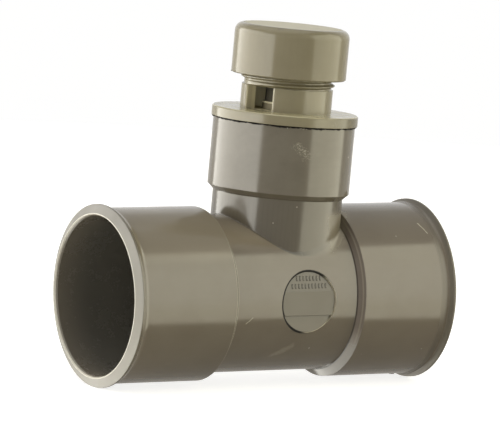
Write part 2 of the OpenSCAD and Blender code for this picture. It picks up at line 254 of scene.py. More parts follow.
def makeRoundZone():
    # what lies between two radii and two heights about an axis, and on one side of it
    group, given, result = startGroup("Round zone", [
        ("Place", "Vector", (0, 0, 0)), ("Axis", "Vector", (0, 0, 1)), ("Inner radius", "Float", 0.0),
        ("Outer radius", "Float", 0.01), ("From", "Float", 0.0), ("Up to", "Float", 0.01),
        ("Softness", "Float", 0.0001), ("Side", "Vector", (0, 0, 0)), ("Side from", "Float", -1.0),
        ("Side fade", "Float", 0.001)], [("Mask", "Float")])
    reach = vectorCalc(group, "SUBTRACT", objectPoint(group), given["Place"])
    along = vectorCalc(group, "DOT_PRODUCT", reach, given["Axis"])
    radius = vectorCalc(group, "DISTANCE", reach, scaleVector(group, given["Axis"], along))
    aside = vectorCalc(group, "DOT_PRODUCT", reach, given["Side"])
    soft = given["Softness"]
    mask = 1.0
    for value, limit, fade in ((radius, "Inner radius", soft), (along, "From", soft),
                               (aside, "Side from", given["Side fade"])):
        shown = rampBetween(group, value, calc(group, "SUBTRACT", given[limit], fade), given[limit])
        mask = calc(group, "MULTIPLY", mask, shown)
    for value, limit in ((radius, "Outer radius"), (along, "Up to")):
        shown = rampBetween(group, value, given[limit], calc(group, "ADD", given[limit], soft), 1.0, 0.0)
        mask = calc(group, "MULTIPLY", mask, shown)
    group.links.new(mask, result["Mask"])
    return group


mouldedTone = makeMouldedTone()
fineGrain = makeFineGrain()
wornAndHighlitEdges = makeWornAndHighlitEdges()
rubbedLine = makeRubbedLine()
roundZone = makeRoundZone()
dust = makeDust()
print("shared effects ready")


def startFinish(name):
    material = bpy.data.materials.new(name)
    material.use_nodes = True
    tree = material.node_tree
    tree.nodes.clear()
    shader = tree.nodes.new("ShaderNodeBsdfPrincipled")
    out = tree.nodes.new("ShaderNodeOutputMaterial")
    tree.links.new(shader.outputs[0], out.inputs[0])
    return material, tree, shader


def toneAndGrain(tree, look):
    colour = useGroup(tree, mouldedTone, {
        "Colour": linearColour(look["colour"]), "Cloud colour": linearColour(look["cloudColour"]),
        "Cloud size": look["cloudSize"], "Cloud amount": look["cloudAmount"],
        "Streak stretch": look["streakStretch"], "Streak amount": look["streakAmount"]})["Colour"]
    grain = useGroup(tree, fineGrain, {
        "Grain size": look["grainSize"], "Wave size": look["waveSize"],
        "Gloss low": look["glossLow"], "Gloss high": look["glossHigh"]})
    return colour, grain["Roughness"], grain["Height"]


def addDust(tree, look, colour):
    specks = useGroup(tree, dust, {
        "Spacing": look["dustSpacing"], "Speck size": look["dustSpeck"], "Share": look["dustShare"]})["Mask"]
    amount = calc(tree, "MULTIPLY", specks, look["dustAmount"])
    return mixColour(tree, amount, colour, linearColour(look["dustColour"]))


def joinShader(tree, shader, look, colour, roughness, relief):
    bump = addNode(tree, "ShaderNodeBump", dict(
        relief, Strength=look["bump"], Distance=look["bumpDepth"] * mm))
    tree.links.new(colour, shader.inputs["Base Color"])
    tree.links.new(roughness, shader.inputs["Roughness"])
    tree.links.new(bump.outputs[0], shader.inputs["Normal"])
    shader.inputs["Specular IOR Level"].default_value = look["shine"]


# what a zone and a mark have where their own lines say nothing else, in mm
plainZone = {"soft": 0.08, "side": (0, 0, 0), "sideFrom": -200.0, "sideFade": 1.0, "dullness": 0.0}
plainMark = {"softness": 0.6, "wobble": 0.3, "wobbleSize": 0.8, "speckSize": 0.2, "bareShare": 0.0,
             "dullness": 0.2}


def zoneMask(tree, zone):
    mask = useGroup(tree, roundZone, {
        "Place": [c * mm for c in zone["place"]], "Axis": list(zone["axis"]),
        "Inner radius": zone["inner"] * mm, "Outer radius": zone["outer"] * mm,
        "From": zone["start"] * mm, "Up to": zone["end"] * mm, "Softness": zone["soft"] * mm,
        "Side": list(zone["side"]), "Side from": zone["sideFrom"] * mm,
        "Side fade": zone["sideFade"] * mm})["Mask"]
    return calc(tree, "MULTIPLY", mask, zone["amount"])


def markMask(tree, mark):
    mask = useGroup(tree, rubbedLine, {
        "Start": [c * mm for c in mark["start"]], "End": [c * mm for c in mark["end"]],
        "Half width": mark["halfWidth"] * mm, "Softness": mark["softness"],
        "Wobble": mark["wobble"] * mm, "Wobble size": mark["wobbleSize"] * mm,
        "Speck size": mark["speckSize"] * mm, "Bare share": mark["bareShare"]})["Mask"]
    return calc(tree, "MULTIPLY", mask, mark["amount"])


def mouldedPlastic(name, look):
    material, tree, shader = startFinish(name)
    colour, roughness, height = toneAndGrain(tree, look)
    # pale edges: wear and painted edge highlight together
    edge = useGroup(tree, wornAndHighlitEdges, {"Width": look["edgeWidth"], "Break size": look["edgeBreak"]})["Mask"]
    colour = mixColour(tree, calc(tree, "MULTIPLY", edge, look["edgeAmount"]), colour,
                       linearColour(look["edgeColour"]))
    colour = addDust(tree, look, colour)
    layers = [(zoneMask, dict(plainZone, **zone)) for zone in look["zones"]]
    layers += [(markMask, dict(plainMark, **mark)) for mark in look["marks"]]
    for makeMask, layer in layers:
        mask = makeMask(tree, layer)
        colour = mixColour(tree, mask, colour, linearColour(layer["colour"]))
        roughness = calc(tree, "ADD", roughness, calc(tree, "MULTIPLY", mask, layer["dullness"]))
    rounded = addNode(tree, "ShaderNodeBevel", {"Radius": look["edgeRound"] * mm}, samples=6)
    joinShader(tree, shader, look, colour, roughness, {"Height": height, "Normal": rounded.outputs[0]})
    return material


def softRubber(name, look):
    material, tree, shader = startFinish(name)
    colour, roughness, height = toneAndGrain(tree, look)
    joinShader(tree, shader, look, addDust(tree, look, colour), roughness, {"Height": height})
    return material


def makeGapShadowFinish(name, look):
    # dark set cement, shiny in places, that stands for the shadow in the gap under the flange: painted shadow
    material, tree, shader = startFinish(name)
    colour, roughness, height = toneAndGrain(tree, look)
    joinShader(tree, shader, look, colour, roughness, {"Height": height})
    return material


# what all the plastics start from; sizes in metres, edgeRound and bumpDepth in mm
plasticLook = {
    "colour": "#635d51", "cloudColour": "#5a5347", "cloudSize": 0.014, "cloudAmount": 0.6,
    "streakStretch": (0.12, 1.0, 1.0), "streakAmount": 0.08, "grainSize": 0.0005, "waveSize": 0.005,
    "glossLow": 0.1, "glossHigh": 0.17, "shine": 0.5,
    "edgeRound": 0.22, "edgeWidth": 0.0003, "edgeBreak": 0.0015, "edgeAmount": 0.35, "edgeColour": "#a39c8a",
    "dustSpacing": 0.006, "dustSpeck": 0.035, "dustShare": 0.35, "dustAmount": 0.45, "dustColour": "#e6e2d8",
    "bump": 0.25, "bumpDepth": 0.03, "zones": [], "marks": []}

# zones are rings about one of three axes: inner and outer radius, start and end along the axis, in mm
alongRun = {"place": (0, 0, 0), "axis": (1, 0, 0)}
aboutBadge = {"place": (25.2, 0, 0), "axis": (0, -1, 0)}
aboutBranch = {"place": branchFoot / mm, "axis": branchAxis}
inletOutside = dict(alongRun, inner=21.9, outer=22.3, start=-24.0, end=2.6, soft=0.4)
middleOutside = dict(alongRun, inner=20.1, outer=20.3, start=4.5, end=39.1, soft=0.1)
inletBore = dict(alongRun, inner=0.0, outer=20.3, start=-26.0, end=0.3)
inletLip = dict(alongRun, inner=20.7, outer=23.3, start=-26.2, end=-24.8)
boreTone = {"colour": "#64625d", "amount": 0.85, "dullness": 0.12}
# the lips' faces painted paler as painted light, and their bores' edges painted pale as a painted highlight
lipPaintedLight = {"colour": "#75726a", "amount": 0.9, "dullness": 0.28}
lipEdgePaintedHighlight = {"colour": "#d8d4c8", "amount": 0.8, "dullness": 0.2}
# pale lines along a shoulder, painted highlights
shoulderHighlightLine = dict(alongRun, inner=20.0, outer=22.3, colour="#a09b8e", amount=0.3, dullness=0.05)
shoulderTop = dict(alongRun, side=(0, 0, 1), sideFrom=-6.0, sideFade=8.0)
teeZones = [
    # outside: the inlet socket and its top painted lighter as painted light, the outlet socket and the strip
    # before its lip painted dark as painted shade, and the middle between them with its top painted lighter
    # as painted light
    dict(inletOutside, colour="#685e52", amount=0.4, dullness=0.07),
    dict(inletOutside, colour="#857d6e", amount=0.38, side=(0, 0, 1), sideFrom=13.0, sideFade=3.0),
    dict(alongRun, inner=21.9, outer=22.3, start=41.0, end=66.0, colour="#6a5f54", amount=0.4, dullness=0.03,
         soft=0.4),
    dict(alongRun, inner=21.9, outer=22.6, start=63.9, end=65.2, colour="#4a4439", amount=0.5, dullness=0.3,
         soft=0.3),
    dict(middleOutside, colour="#6a5f54", amount=0.35, dullness=0.02),
    dict(middleOutside, colour="#8d8373", amount=0.5, side=(0, 0, 1), sideFrom=16.0, sideFade=4.0),
    # the sockets' bores, the inlet's painted lighter towards its mouth as painted light
    dict(inletBore, **boreTone),
    dict(inletBore, colour="#827b70", amount=0.8, side=(-1, 0, 0), sideFrom=26.5, sideFade=11.0),
    dict(alongRun, inner=0.0, outer=20.3, start=42.2, end=68.7, **boreTone),
    # the inlet's lip, its face painted paler as painted light and its top painted darker as painted shade,
    # and the edge of its bore painted pale as a painted highlight
    dict(inletLip, **lipPaintedLight),
    dict(inletLip, colour="#4b463d", amount=0.45, dullness=0.06, side=(0, 0, 1), sideFrom=20.5, sideFade=6.0),
    dict(alongRun, inner=20.4, outer=20.75, start=-26.2, end=-25.5, **lipEdgePaintedHighlight),
    # the outlet's lip, its face painted paler as painted light, the land behind it painted dark as painted
    # shade, and the edge of its bore painted pale as a painted highlight
    dict(alongRun, inner=20.7, outer=23.3, start=67.35, end=68.7, **lipPaintedLight),
    dict(alongRun, inner=22.5, outer=23.3, start=65.2, end=67.25, colour="#565045", amount=0.75,
         dullness=0.45, soft=0.3),
    dict(alongRun, inner=20.4, outer=20.75, start=68.0, end=68.7, **lipEdgePaintedHighlight),
    # the two pale lines of the inlet's shoulder, painted highlights on its edges
    dict(shoulderHighlightLine, start=2.7, end=2.82),
    dict(shoulderHighlightLine, start=4.24, end=4.36),
    # the outlet's shoulder painted dark over its upper part as painted shade, the dark line at its foot as
    # painted shade in the crease, and the paler line along its middle as a painted highlight
    dict(shoulderTop, inner=20.1, outer=22.05, start=39.3, end=40.78, colour="#5a5047", amount=0.95,
         dullness=0.5),
    dict(alongRun, inner=19.9, outer=20.4, start=39.2, end=39.6, colour="#29241e", amount=0.75, dullness=0.3),
    dict(shoulderTop, inner=21.4, outer=21.6, start=39.4, end=40.7, colour="#7d7667", amount=0.7,
         dullness=0.2, soft=0.15),
    # the badge's flats, the dark line round its left side as a painted shadow of the recess's edge, and the
    # wall at its right painted pale as painted light
    dict(aboutBadge, inner=0.0, outer=7.7, start=17.2, end=19.85, colour="#4f493e", amount=0.8, dullness=0.2),
    dict(aboutBadge, inner=7.65, outer=8.1, start=15.0, end=20.4, colour="#0f0d0a", amount=0.97, dullness=0.8,
         soft=0.12, side=(-0.93, 0, 0.37), sideFrom=-1.0, sideFade=4.0),
    dict(aboutBadge, inner=7.66, outer=7.86, start=15.0, end=20.15, colour="#b0a895", amount=0.75,
         dullness=0.5, soft=0.05, side=(0.93, 0, -0.37), sideFrom=3.2, sideFade=2.0),
    # the branch's tube, the crease at its foot towards the inlet painted dark as painted shade, and its foot
    # towards the outlet painted paler and duller as painted light
    dict(aboutBranch, inner=16.4, outer=16.72, start=8.0, end=25.5, colour="#514b40", amount=0.7,
         dullness=0.02, soft=0.3),
    dict(aboutBranch, inner=16.64, outer=16.78, start=5.0, end=24.0, colour="#2a261f", amount=0.8,
         dullness=0.2, soft=0.05, side=(-1, 0, 0), sideFrom=3.0, sideFade=6.0),
    dict(aboutBranch, inner=16.4, outer=17.5, start=12.0, end=21.0, colour="#766f61", amount=0.6,
         dullness=0.24, soft=2.0, side=(1, 0, 0), sideFrom=9.0, sideFade=4.0)]


def paleSpeck(place, halfWidth):
    return {"start": place, "end": place, "halfWidth": halfWidth, "amount": 0.5, "colour": "#c4beae"}


# marks, in mm
teeMarks = [
    # scuff on the branch socket
    {"start": (20.94, -17.0, 39.3), "end": (23.4, -17.7, 36.9), "halfWidth": 2.4, "amount": 0.38,
     "softness": 0.9, "colour": "#c9c3b3", "dullness": 0.1, "speckSize": 0.24, "bareShare": 0.66},
    # scratch by the outlet's lip
    {"start": (61.34, -12.18, 18.5), "end": (62.7, -14.97, 16.32), "halfWidth": 0.17, "amount": 0.75,
     "colour": "#cfc9b8", "dullness": 0.1},
    # smear and scratch under the badge
    {"start": (18.35, -14.53, -14.03), "end": (22.88, -16.57, -11.55), "halfWidth": 1.3, "amount": 0.2,
     "softness": 1.0, "colour": "#a8a190", "dullness": 0.05, "wobble": 2.2, "wobbleSize": 1.6},
    {"start": (7.12, -19.56, -5.04), "end": (8.87, -19.89, -3.52), "halfWidth": 0.14, "amount": 0.6,
     "colour": "#b9b2a0", "dullness": 0.1},
    paleSpeck((28.32, -16.02, -12.3), 0.25), paleSpeck((16.91, -13.86, 19.58), 0.22),
    paleSpeck((22.35, -16.14, 23.86), 0.22), paleSpeck((52.9, -15.5, 15.83), 0.22)]
teeLook = dict(plasticLook, zones=teeZones, marks=teeMarks, glossLow=0.12, glossHigh=0.19, cloudSize=0.01)

valveZones = [
    # inside the neck and the sides of its windows, painted pale as painted light in their shade
    dict(aboutBranch, inner=0.0, outer=9.95, start=30.0, end=62.0, colour="#d5cdae", amount=0.9,
         dullness=0.5),
    dict(aboutBranch, inner=10.0, outer=11.45, start=46.75, end=52.6, colour="#c9c1a4", amount=0.9,
         dullness=0.5),
    # the inner tube above its collar, painted dark as painted shade, and the collar
    dict(aboutBranch, inner=0.0, outer=5.6, start=48.75, end=62.0, colour="#2b271f", amount=0.95,
         dullness=0.2),
    dict(aboutBranch, inner=0.0, outer=6.3, start=30.0, end=48.7, colour="#6a634f", amount=0.9, dullness=0.1),
    # the flange's top, painted pale as painted light, and the right end of its side, painted darker as
    # painted shade
    dict(aboutBranch, inner=11.8, outer=18.7, start=46.5, end=46.9, colour="#a59e80", amount=0.9),
    dict(aboutBranch, inner=18.3, outer=18.8, start=44.2, end=46.45, colour="#544e3a", amount=0.6,
         dullness=0.06, side=(0.855, -0.519, 0), sideFrom=16.0, sideFade=5.0)]
valveLook = dict(plasticLook, zones=valveZones, colour="#7b745d", cloudColour="#716a54", edgeColour="#bcb594",
                 streakStretch=(1.0, 1.0, 0.15), glossLow=0.17, glossHigh=0.26)

# the cap's rough top face, painted pale as a painted reflection of the white surroundings, and a small mark
# on its edge
capZones = [
    dict(aboutBranch, inner=0.0, outer=12.0, start=66.0, end=70.0, colour="#b9b5a8", amount=0.95,
         dullness=0.5, soft=0.9)]
capMarks = [
    {"start": (18.2, -9.4, 68.35), "end": (19.2, -9.8, 68.4), "halfWidth": 0.3, "amount": 0.6,
     "softness": 0.4, "colour": "#3d382c", "dullness": 0.2, "wobble": 0.2}]
capLook = dict(plasticLook, zones=capZones, marks=capMarks, colour="#78715c", cloudColour="#706954",
               edgeColour="#c9c2ae", streakStretch=(1.0, 1.0, 0.15), glossLow=0.14, glossHigh=0.2, shine=0.36)

discLook = dict(plasticLook, colour="#d6d2c6", cloudColour="#cbc6b8", edgeColour="#e8e4da",
                streakStretch=(1.0, 1.0, 1.0))
ringLook = {
    "colour": "#2b2b2a", "cloudColour": "#353432", "cloudSize": 0.006, "cloudAmount": 0.7,
    "streakStretch": (1, 1, 1), "streakAmount": 0.15, "grainSize": 0.00025, "waveSize": 0.003,
    "glossLow": 0.5, "glossHigh": 0.7, "shine": 0.5, "bump": 0.4, "bumpDepth": 0.05,
    "dustSpacing": 0.0025, "dustSpeck": 0.05, "dustShare": 0.4, "dustAmount": 0.4, "dustColour": "#a5a198"}
gasketLook = dict(ringLook, colour="#3a3936", cloudColour="#42403c", glossLow=0.55, glossHigh=0.75)
# the dark bead under the flange stands for the shadow in the gap there: painted shadow
gapShadowLook = {
    "colour": "#0c0a08", "cloudColour": "#221e18", "cloudSize": 0.0012, "cloudAmount": 1.0,
    "streakStretch": (1, 1, 1), "streakAmount": 0.3, "grainSize": 0.0002, "waveSize": 0.001,
    "glossLow": 0.6, "glossHigh": 0.95, "shine": 0.15, "bump": 0.7, "bumpDepth": 0.1}

teePlastic = mouldedPlastic("Tee plastic", teeLook)
# the fillets' borders are tangent to the tee, so nothing is rounded, worn or given a painted edge highlight
# there
filletPlastic = mouldedPlastic("Fillet plastic", dict(teeLook, edgeRound=0.0, edgeAmount=0.0))
valvePlastic = mouldedPlastic("Valve plastic", valveLook)
capPlastic = mouldedPlastic("Cap plastic", capLook)
discPlastic = mouldedPlastic("Disc plastic", discLook)
sealRubber = softRubber("Seal rubber", ringLook)
gasketRubber = softRubber("Gasket rubber", gasketLook)
gapShadowMaterial = makeGapShadowFinish("Gap shadow finish", gapShadowLook)
# the ticks' dark colour is painted shade
tickPlasticPaintedShade = mouldedPlastic("Tick plastic painted shade", dict(plasticLook, colour="#3a342a", cloudColour="#2d2820",
                                                  edgeAmount=0.6, edgeWidth=0.0001, edgeRound=0.06))
# the collar rim's pale colour is a painted highlight
rimPaintedHighlight = mouldedPlastic("Rim painted highlight", dict(plasticLook, colour="#cfc8ab", cloudColour="#bcb597",
                                                glossLow=0.3, glossHigh=0.4, dustAmount=0.0))
sawnPlastic = mouldedPlastic("Sawn plastic", dict(plasticLook, colour="#b5ae9c", cloudColour="#8a8371",
                                                  glossLow=0.4, glossHigh=0.6, dustAmount=0.0))

for nodeName, material in {"tee_body": teePlastic, "valve_body": valvePlastic, "screw_cap": capPlastic,
                           "valve_disc": discPlastic, "rubber_ring": sealRubber,
                           "cap_gasket": gasketRubber}.items():
    nodes[nodeName].material_slots[0].material = material
print("finishes on the CAD nodes")


def makePiece(name, mesh, body, material=None):
    piece = bpy.data.objects.new(name, mesh)
    scene.collection.objects.link(piece)
    if material:
        mesh.materials.clear()
        mesh.materials.append(material)
    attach(piece, body)


# fillets in the corner between the branch and the run, front and back; the first five as in the CAD, in mm
filletSizes = {
    "bodyRadius": 20.2, "socketRadius": 22.15, "shoulderStart": 39.3, "shoulderEnd": 40.8,
    "branchRadius": 16.6, "sunk": 0.35, "steps": 12, "sections": 120, "searchHeight": 40.0, "halvings": 50,
    # degrees from the outlet side, and the fillet's reach there; beyond these the corner stays sharp
    "reaches": [(33, 0.02), (42, 0.4), (52, 1.0), (64, 1.7), (80, 1.9), (94, 1.25), (106, 0.4), (114, 0.02)]}


def runRadius(x):
    # the middle's radius, then the outlet shoulder's slope up to the socket's
    sizes = filletSizes
    share = (x - sizes["shoulderStart"]) / (sizes["shoulderEnd"] - sizes["shoulderStart"])
    return sizes["bodyRadius"] + (sizes["socketRadius"] - sizes["bodyRadius"]) * min(1, max(0, share))


def runNormal(point):
    step = 0.01
    slope = (runRadius(point.x + step) - runRadius(point.x - step)) / (2 * step)
    across = Vector((0, point.y, point.z)).normalized()
    return Vector((-slope, across.y, across.z)).normalized()


def cornerPoint(turn):
    # where the branch's side meets the run, in mm
    out = branchAhead * math.cos(turn) + Vector((0, 1, 0)) * math.sin(turn)
    start = branchFoot / mm + out * filletSizes["branchRadius"]
    low, high = 0.0, filletSizes["searchHeight"]
    for _ in range(filletSizes["halvings"]):
        middle = (low + high) / 2
        point = start + branchAxis * middle
        if math.hypot(point.y, point.z) < runRadius(point.x):
            low = middle
        else:
            high = middle
    return start + branchAxis * low, out


def filletReach(degrees):
    table = filletSizes["reaches"]
    for (low, first), (high, second) in zip(table, table[1:]):
        if degrees <= high:
            share = max(0, (degrees - low) / (high - low))
            return first + (second - first) * share * share * (3 - 2 * share)
    return table[-1][1]


def filletSection(degrees, front):
    # points from the branch down to the run with their normals, then the point sunk in the corner
    sizes = filletSizes
    corner, out = cornerPoint(math.radians(-degrees if front else degrees))
    reach = filletReach(degrees)
    base = runNormal(corner)
    side = (out - base * out.dot(base)).normalized()
    upper = corner + branchAxis * reach
    lower = corner + side * reach
    shrink = runRadius(lower.x) / math.hypot(lower.y, lower.z)
    lower = Vector((lower.x, lower.y * shrink, lower.z * shrink))
    foot = runNormal(lower)
    middle = upper - branchAxis * ((upper - lower).dot(foot) / branchAxis.dot(foot))
    points, normals = [], []
    for j in range(sizes["steps"] + 1):
        u = j / sizes["steps"]
        points.append(upper * (1 - u) ** 2 + middle * (2 * u * (1 - u)) + lower * u * u)
        normals.append((out * (1 - u) + foot * u).normalized())
    points.append(corner - (base + out).normalized() * sizes["sunk"])
    return points, normals


def makeFillet(name, front):
    # sections side by side, closed at both ends; the band keeps the normals of the walls that it joins
    sizes = filletSizes
    first, last = sizes["reaches"][0][0], sizes["reaches"][-1][0]
    ring = sizes["steps"] + 2
    points, faces, normals = [], [], {}
    for k in range(sizes["sections"] + 1):
        section, sectionNormals = filletSection(first + (last - first) * k / sizes["sections"], front)
        for j, normal in enumerate(sectionNormals):
            normals[len(points) + j] = normal
        points.extend(section)
    for k in range(sizes["sections"]):
        a, b = k * ring, (k + 1) * ring
        for j in range(ring):
            n = (j + 1) % ring
            faces.append((a + j, b + j, b + n, a + n))
    faces.append(tuple(range(ring)))
    faces.append(tuple(range(len(points) - 1, len(points) - 1 - ring, -1)))
    mesh = bpy.data.meshes.new(name)
    mesh.from_pydata([tuple(p * mm) for p in points], [], faces)
    work = bmesh.new()
    work.from_mesh(mesh)
    bmesh.ops.recalc_face_normals(work, faces=work.faces)
    work.to_mesh(mesh)
    work.free()
    mesh.polygons.foreach_set("use_smooth", [True] * len(mesh.polygons))
    custom = []
    for polygon in mesh.polygons:
        onBand = all(v in normals for v in polygon.vertices)
        for v in polygon.vertices:
            custom.append(tuple(normals[v]) if onBand else tuple(polygon.normal))
    mesh.normals_split_custom_set(custom)
    makePiece(name, mesh, "tee", filletPlastic)


makeFillet("branch_fillet_front", True)
makeFillet("branch_fillet_back", False)
print("fillets between branch and run made")


def startTree(name, inputs):
    tree = bpy.data.node_groups.new(name, "GeometryNodeTree")
    tree.is_modifier = True
    tree.interface.new_socket(name="Geometry", in_out="INPUT", socket_type="NodeSocketGeometry")
    for label, kind, value in inputs:
        socket = tree.interface.new_socket(name=label, in_out="INPUT", socket_type="NodeSocket" + kind)
        if value is not None:
            socket.default_value = value
    tree.interface.new_socket(name="Geometry", in_out="OUTPUT", socket_type="NodeSocketGeometry")
    return tree, tree.nodes.new("NodeGroupInput").outputs


def endTree(tree, geometry, material):
    whole = addNode(tree, "GeometryNodeRealizeInstances", {"Geometry": geometry})
    painted = addNode(tree, "GeometryNodeSetMaterial", {"Geometry": whole.outputs[0], "Material": material})
    out = tree.nodes.new("NodeGroupOutput")
    tree.links.new(painted.outputs[0], out.inputs[0])


def treeMesh(name, tree, values):
    # runs the tree once on an empty object and keeps the result as a plain mesh
    holder = bpy.data.objects.new(name + "_holder", bpy.data.meshes.new(name + "_empty"))
    scene.collection.objects.link(holder)
    modifier = holder.modifiers.new("shape", "NODES")
    modifier.node_group = tree
    for item in tree.interface.items_tree:
        if item.item_type == "SOCKET" and item.in_out == "INPUT" and item.name in values:
            modifier[item.identifier] = values[item.name]
    graph = bpy.context.evaluated_depsgraph_get()
    mesh = bpy.data.meshes.new_from_object(holder.evaluated_get(graph), depsgraph=graph)
    mesh.name = name
    holder.modifiers.remove(modifier)
    bpy.data.objects.remove(holder)
    return mesh


def randomValue(tree, kind, low, high, seed):
    lowInput, highInput, output = {"FLOAT": (2, 3, 1), "FLOAT_VECTOR": (0, 1, 0)}[kind]
    node = addNode(tree, "FunctionNodeRandomValue", {lowInput: low, highInput: high, "Seed": seed},
                   data_type=kind)
    return node.outputs[output]


# a dark bead of cement under the flange, standing for the shadow in the gap there: painted shadow
beadSizes = {"Radius": 18.18 * mm, "Height": 43.9 * mm, "Thickness": 0.24 * mm, "Thinnest": 0.04 * mm,
             "Unevenness": 1.15, "Lump size": 1.5 * mm, "Wander": 0.16 * mm, "Corners": 480, "Sides": 8,
             "Seed": 4}


def makeBeadTree():
    # a ring that wanders up and down and swells where a noise is high
    noiseMiddle, noiseSwing = 0.5, 4.0      # the noise's mean, and what brings its swing to about one
    tree, given = startTree("Gap shadow bead", [
        ("Radius", "Float", 0.018), ("Height", "Float", 0.044), ("Thickness", "Float", 0.0002),
        ("Thinnest", "Float", 0.00004), ("Unevenness", "Float", 0.5), ("Lump size", "Float", 0.002),
        ("Wander", "Float", 0.0001), ("Corners", "Int", 480), ("Sides", "Int", 8), ("Seed", "Int", 1),
        ("Finish", "Material", None)])
    circle = addNode(tree, "GeometryNodeCurvePrimitiveCircle", {
        "Resolution": given["Corners"], "Radius": given["Radius"]})
    place = addNode(tree, "GeometryNodeInputPosition").outputs[0]
    lumps = addNode(tree, "ShaderNodeTexNoise", {
        "Vector": place, "W": given["Seed"], "Scale": calc(tree, "DIVIDE", 1.0, given["Lump size"]),
        "Detail": 4.0, "Roughness": 0.65}, noise_dimensions="4D")
    shift = vectorCalc(tree, "SUBTRACT", lumps.outputs["Color"], [noiseMiddle] * 3)
    shift = scaleVector(tree, shift, calc(tree, "MULTIPLY", given["Wander"], 2.0))
    lift = joinVector(tree, z=given["Height"])
    moved = addNode(tree, "GeometryNodeSetPosition", {
        "Geometry": circle.outputs[0], "Offset": vectorCalc(tree, "ADD", shift, lift)})
    swell = calc(tree, "MULTIPLY", calc(tree, "SUBTRACT", lumps.outputs[0], noiseMiddle), noiseSwing)
    swell = calc(tree, "ADD", 1.0, calc(tree, "MULTIPLY", swell, given["Unevenness"]))
    thick = calc(tree, "MAXIMUM", calc(tree, "MULTIPLY", swell, given["Thickness"]), given["Thinnest"])
    sized = addNode(tree, "GeometryNodeSetCurveRadius", {"Curve": moved.outputs[0], "Radius": thick})
    section = addNode(tree, "GeometryNodeCurvePrimitiveCircle", {
        "Resolution": given["Sides"], "Radius": 1.0})
    tube = addNode(tree, "GeometryNodeCurveToMesh", {
        "Curve": sized.outputs[0], "Profile Curve": section.outputs[0], "Scale": thick})
    smooth = addNode(tree, "GeometryNodeSetShadeSmooth", {"Geometry": tube.outputs[0]})
    endTree(tree, smooth.outputs[0], given["Finish"])
    return tree


beadMesh = treeMesh("gap_shadow_bead", makeBeadTree(), dict(beadSizes, Finish=gapShadowMaterial))
beadMesh.transform(branchPlace)
makePiece("gap_shadow_bead", beadMesh, "tee")
print("cement bead made")


# burrs left by the saw around the branch's mouth, and the nick at the cap's lower edge
burrRows = {
    "mouth_burrs": {"Radius": 18.13 * mm, "Height": 43.72 * mm, "From": math.radians(-126),
                    "Sweep": math.radians(22), "Count": 34, "Flake": 0.26 * mm, "Scatter": 0.16 * mm,
                    "Seed": 3},
    "mouth_crumbs": {"Radius": 18.1 * mm, "Height": 43.86 * mm, "From": 0.0, "Sweep": math.radians(359),
                     "Count": 120, "Flake": 0.15 * mm, "Scatter": 0.1 * mm, "Seed": 8},
    "cap_burr": {"Radius": 14.58 * mm, "Height": 55.55 * mm, "From": math.radians(150),
                 "Sweep": math.radians(6), "Count": 5, "Flake": 0.3 * mm, "Scatter": 0.08 * mm, "Seed": 5}}


def makeBurrTree():
    # flat six-sided flakes strewn along an arc, each turned and sized by chance
    arcCorners = 200
    flakeSides, tipRadius, flakeDepth = 6, 0.25, 1.1     # the flake's foot has the radius 1
    flakeScale = (1.0, 0.35, 0.6)
    anyTurn, smallest = 3.1, 0.35
    turnShift, sizeShift = 11.0, 23.0                    # added to the seed, so that the draws differ
    tree, given = startTree("Saw burrs", [
        ("Radius", "Float", 0.018), ("Height", "Float", 0.044), ("From", "Float", 0.0),
        ("Sweep", "Float", 1.0), ("Count", "Int", 20), ("Flake", "Float", 0.0003),
        ("Scatter", "Float", 0.0001), ("Seed", "Int", 1), ("Finish", "Material", None)])
    arc = addNode(tree, "GeometryNodeCurveArc", {
        "Resolution": arcCorners, "Radius": given["Radius"], "Start Angle": given["From"],
        "Sweep Angle": given["Sweep"]}, mode="RADIUS")
    dots = addNode(tree, "GeometryNodeCurveToPoints", {"Curve": arc.outputs[0], "Count": given["Count"]})
    jitter = randomValue(tree, "FLOAT_VECTOR", (-1, -1, -1), (1, 1, 1), given["Seed"])
    jitter = scaleVector(tree, jitter, given["Scatter"])
    lift = joinVector(tree, z=given["Height"])
    moved = addNode(tree, "GeometryNodeSetPosition", {
        "Geometry": dots.outputs[0], "Offset": vectorCalc(tree, "ADD", jitter, lift)})
    flake = addNode(tree, "GeometryNodeMeshCone", {
        "Vertices": flakeSides, "Radius Top": tipRadius, "Radius Bottom": 1.0, "Depth": flakeDepth})
    flat = addNode(tree, "GeometryNodeTransform", {"Geometry": flake.outputs[0], "Scale": flakeScale})
    turnSeed = calc(tree, "ADD", given["Seed"], turnShift)
    turned = randomValue(tree, "FLOAT_VECTOR", [-anyTurn] * 3, [anyTurn] * 3, turnSeed)
    sizeSeed = calc(tree, "ADD", given["Seed"], sizeShift)
    size = calc(tree, "MULTIPLY", randomValue(tree, "FLOAT", smallest, 1.0, sizeSeed), given["Flake"])
    placed = addNode(tree, "GeometryNodeInstanceOnPoints", {
        "Points": moved.outputs[0], "Instance": flat.outputs[0], "Rotation": turned, "Scale": size})
    endTree(tree, placed.outputs[0], given["Finish"])
    return tree


burrTree = makeBurrTree()
for burrName, burrSizes in burrRows.items():
    onCap = burrName == "cap_burr"
    burrMesh = treeMesh(burrName, burrTree, dict(burrSizes, Finish=capPlastic if onCap else sawnPlastic))
    burrMesh.transform(branchPlace)
    makePiece(burrName, burrMesh, "cap" if onCap else "tee")
print("saw burrs made")


# rounded rim on the inner tube's collar, seen through the window; its pale finish is a painted highlight
rimSizes = {"Radius": 6.0 * mm, "Height": 48.45 * mm, "Thickness": 0.22 * mm, "Corners": 96, "Sides": 12}


